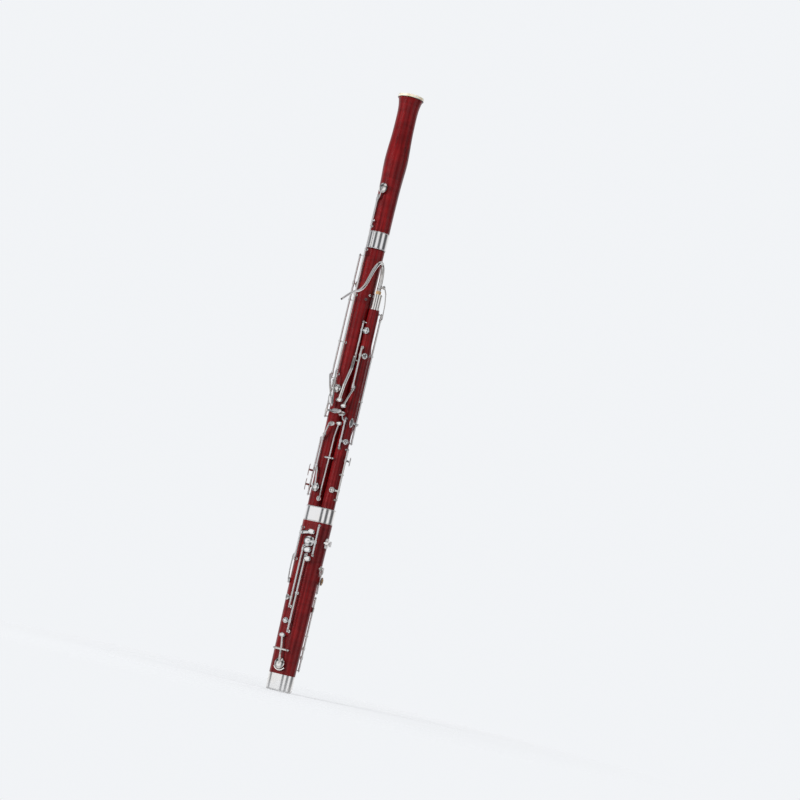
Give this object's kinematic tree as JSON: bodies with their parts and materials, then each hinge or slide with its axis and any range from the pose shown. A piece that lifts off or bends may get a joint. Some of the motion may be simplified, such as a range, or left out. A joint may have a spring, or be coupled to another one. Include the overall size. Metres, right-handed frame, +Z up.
{
  "type": "bassoon",
  "caption": "Double-reed woodwind of four lacquered joints with curved metal bocal, flared bell and hinged silver-plated keywork.",
  "frame": {"origin": "centre of the boot cap's flat foot", "axes": "+Z up the instrument, -Y to the thumb side and the reed, +X to the wing joint, -X to the long joint and bell"},
  "size_m": [0.094, 0.2015, 1.34],
  "materials": {
    "silver_plate": "polished silver plate",
    "red_lacquered_maple": "deep red gloss lacquer over maple",
    "ivory_plastic": "polished ivory-coloured resin",
    "cork": "greased sheet cork",
    "hard_rubber": "black ebonite",
    "raw_brass": "bare drawn brass",
    "blued_steel": "ground hinge steel",
    "pad_leather": "tan pad leather"
  },
  "bodies": {
    "body": {"bocal_receiver": "silver_plate", "boot_body": "red_lacquered_maple", "boot_cap": "silver_plate", "boot_ring": "silver_plate", "cork_linings": "cork", "hand_rest_holder": "silver_plate", "hinge_steels": "blued_steel", "key_posts": "silver_plate", "long_joint_body": "red_lacquered_maple", "strap_lug": "silver_plate", "u_tube": "raw_brass", "wing_joint_body": "red_lacquered_maple", "wing_liner": "hard_rubber"},
    "bell_bb_key": {"bell_bb_key": "silver_plate", "bell_bb_pad": "pad_leather"},
    "low_bb_lever": {"low_bb_lever": "silver_plate"},
    "low_b_key": {"low_b_key": "silver_plate", "low_b_pad": "pad_leather"},
    "low_c_key": {"low_c_key": "silver_plate", "low_c_pad": "pad_leather"},
    "low_d_key": {"low_d_key": "silver_plate", "low_d_pad": "pad_leather"},
    "low_eb_key": {"low_eb_key": "silver_plate", "low_eb_pad": "pad_leather"},
    "high_c_key": {"high_c_key": "silver_plate", "high_c_pad": "pad_leather"},
    "high_a_key": {"high_a_key": "silver_plate", "high_a_pad": "pad_leather"},
    "whisper_key": {"whisper_key": "silver_plate", "whisper_pad": "pad_leather"},
    "trill_key": {"trill_key": "silver_plate", "trill_pad": "pad_leather"},
    "boot_bb_key": {"boot_bb_key": "silver_plate", "boot_bb_pad": "pad_leather"},
    "pancake_e_key": {"pancake_e_key": "silver_plate", "pancake_e_pad": "pad_leather"},
    "thumb_fs_key": {"thumb_fs_key": "silver_plate", "thumb_fs_pad": "pad_leather"},
    "thumb_gs_key": {"thumb_gs_key": "silver_plate", "thumb_gs_pad": "pad_leather"},
    "g_key": {"g_key": "silver_plate", "g_pad": "pad_leather"},
    "front_ab_key": {"front_ab_key": "silver_plate", "front_ab_pad": "pad_leather"},
    "wing_cs_key": {"wing_cs_key": "silver_plate", "wing_cs_pad": "pad_leather"},
    "low_cs_key": {"low_cs_key": "silver_plate", "low_cs_pad": "pad_leather"},
    "low_f_key": {"low_f_key": "silver_plate", "low_f_pad": "pad_leather"},
    "bell": {"bell_body": "red_lacquered_maple", "bell_ring": "ivory_plastic", "bell_ferrule": "silver_plate", "bell_posts": "silver_plate", "bell_steel": "blued_steel"},
    "bocal": {"bocal_tube": "silver_plate", "bocal_cork": "cork", "bocal_nipple": "silver_plate"},
    "strap_ring": {"strap_ring": "silver_plate"},
    "hand_rest_screw": {"hand_rest_screw": "silver_plate"}
  },
  "joints": [
    {"name": "bell_bb_press", "type": "hinge", "parent": "bell", "child": "bell_bb_key", "pos_m": [-0.02587, -0.02575, 1.069], "axis": [0, 0, 1], "range_deg": [0, 11], "stiffness_Nm_per_rad": 0.06, "springref_deg": -14.32},
    {"name": "low_bb_press", "type": "hinge", "parent": "body", "child": "low_bb_lever", "pos_m": [-0.0257, -0.02528, 0.84], "axis": [0, 0, 1], "range_deg": [0, 11], "stiffness_Nm_per_rad": 0.06, "springref_deg": -14.32},
    {"name": "low_b_press", "type": "hinge", "parent": "body", "child": "low_b_key", "pos_m": [-0.04248, -0.015, 0.829], "axis": [0, 0, 1], "range_deg": [-8, 0], "stiffness_Nm_per_rad": 0.06, "springref_deg": 14.32},
    {"name": "low_c_press", "type": "hinge", "parent": "body", "child": "low_c_key", "pos_m": [-0.03463, -0.01633, 0.644], "axis": [0, 0, 1], "range_deg": [0, 10], "stiffness_Nm_per_rad": 0.06, "springref_deg": -14.32},
    {"name": "low_d_press", "type": "hinge", "parent": "body", "child": "low_d_key", "pos_m": [-0.02334, -0.02238, 0.5235], "axis": [0, 0, 1], "range_deg": [0, 10], "stiffness_Nm_per_rad": 0.06, "springref_deg": -14.32},
    {"name": "low_eb_lift", "type": "hinge", "parent": "body", "child": "low_eb_key", "pos_m": [-0.03895, -0.00396, 0.493], "axis": [0, 0, 1], "range_deg": [0, 9], "stiffness_Nm_per_rad": 0.06, "springref_deg": -14.32},
    {"name": "high_c_lift", "type": "hinge", "parent": "body", "child": "high_c_key", "pos_m": [0.00568, -0.01489, 0.779], "axis": [0, 0, 1], "range_deg": [-8, 0], "stiffness_Nm_per_rad": 0.06, "springref_deg": 14.32},
    {"name": "high_a_lift", "type": "hinge", "parent": "body", "child": "high_a_key", "pos_m": [0.01842, -0.0183, 0.718], "axis": [0, 0, 1], "range_deg": [-8, 0], "stiffness_Nm_per_rad": 0.06, "springref_deg": 14.32},
    {"name": "whisper_press", "type": "hinge", "parent": "body", "child": "whisper_key", "pos_m": [0.03068, 0.01108, 0.701], "axis": [0, 0, 1], "range_deg": [-7, 0], "stiffness_Nm_per_rad": 0.06, "springref_deg": 14.32},
    {"name": "trill_lift", "type": "hinge", "parent": "body", "child": "trill_key", "pos_m": [0.03611, -0.00562, 0.484], "axis": [0, 0, 1], "range_deg": [0, 8], "stiffness_Nm_per_rad": 0.06, "springref_deg": -14.32},
    {"name": "boot_bb_lift", "type": "hinge", "parent": "body", "child": "boot_bb_key", "pos_m": [-0.01932, -0.02903, 0.321], "axis": [0, 0, 1], "range_deg": [0, 8], "stiffness_Nm_per_rad": 0.06, "springref_deg": -14.32},
    {"name": "pancake_e_press", "type": "hinge", "parent": "body", "child": "pancake_e_key", "pos_m": [0.02246, -0.02837, 0.333], "axis": [0, 0, 1], "range_deg": [-8, 0], "stiffness_Nm_per_rad": 0.06, "springref_deg": 14.32},
    {"name": "thumb_fs_lift", "type": "hinge", "parent": "body", "child": "thumb_fs_key", "pos_m": [-0.0045, -0.0286, 0.25], "axis": [0, 0, 1], "range_deg": [0, 8], "stiffness_Nm_per_rad": 0.06, "springref_deg": -14.32},
    {"name": "thumb_gs_lift", "type": "hinge", "parent": "body", "child": "thumb_gs_key", "pos_m": [0.0055, -0.0286, 0.2145], "axis": [0, 0, 1], "range_deg": [0, 7], "stiffness_Nm_per_rad": 0.06, "springref_deg": -14.32},
    {"name": "g_press", "type": "hinge", "parent": "body", "child": "g_key", "pos_m": [0.02209, 0.02745, 0.25], "axis": [0, 0, 1], "range_deg": [-12, 0], "stiffness_Nm_per_rad": 0.06, "springref_deg": 14.32},
    {"name": "front_ab_lift", "type": "hinge", "parent": "body", "child": "front_ab_key", "pos_m": [0.02209, 0.02745, 0.132], "axis": [0, 0, 1], "range_deg": [0, 9], "stiffness_Nm_per_rad": 0.06, "springref_deg": -14.32},
    {"name": "wing_cs_lift", "type": "hinge", "parent": "body", "child": "wing_cs_key", "pos_m": [0.01938, -0.01817, 0.573], "axis": [0, 0, 1], "range_deg": [-7, 0], "stiffness_Nm_per_rad": 0.06, "springref_deg": 14.32},
    {"name": "low_cs_lift", "type": "hinge", "parent": "body", "child": "low_cs_key", "pos_m": [0.002, -0.0196, 0.515], "axis": [1, 0, 0], "range_deg": [-3.2, 0], "stiffness_Nm_per_rad": 0.06, "springref_deg": 14.32},
    {"name": "low_f_press", "type": "hinge", "parent": "body", "child": "low_f_key", "pos_m": [0, -0.0285, 0.09], "axis": [1, 0, 0], "range_deg": [0, 6], "stiffness_Nm_per_rad": 0.06, "springref_deg": -14.32},
    {"name": "bell_slide", "type": "slide", "parent": "body", "child": "bell", "axis": [0, 0, 1], "range_m": [0, 0.033]},
    {"name": "bocal_swivel", "type": "hinge", "parent": "body", "child": "bocal", "pos_m": [0.0165, 0, 0.875], "axis": [0, 0, 1], "range_deg": [-20, 20]},
    {"name": "strap_ring_swing", "type": "hinge", "parent": "body", "child": "strap_ring", "pos_m": [0.03748, 0, 0.276], "axis": [0, 1, 0], "range_deg": [-60, 8]},
    {"name": "hand_rest_screw_turn", "type": "hinge", "parent": "body", "child": "hand_rest_screw", "pos_m": [0.0397, -0.006, 0.332], "axis": [0, 1, 0], "range_deg": [0, 180]}
  ],
  "couplings": [
    {"joint": "bell_bb_press", "follows": "low_bb_press", "ratio": 1}
  ]
}
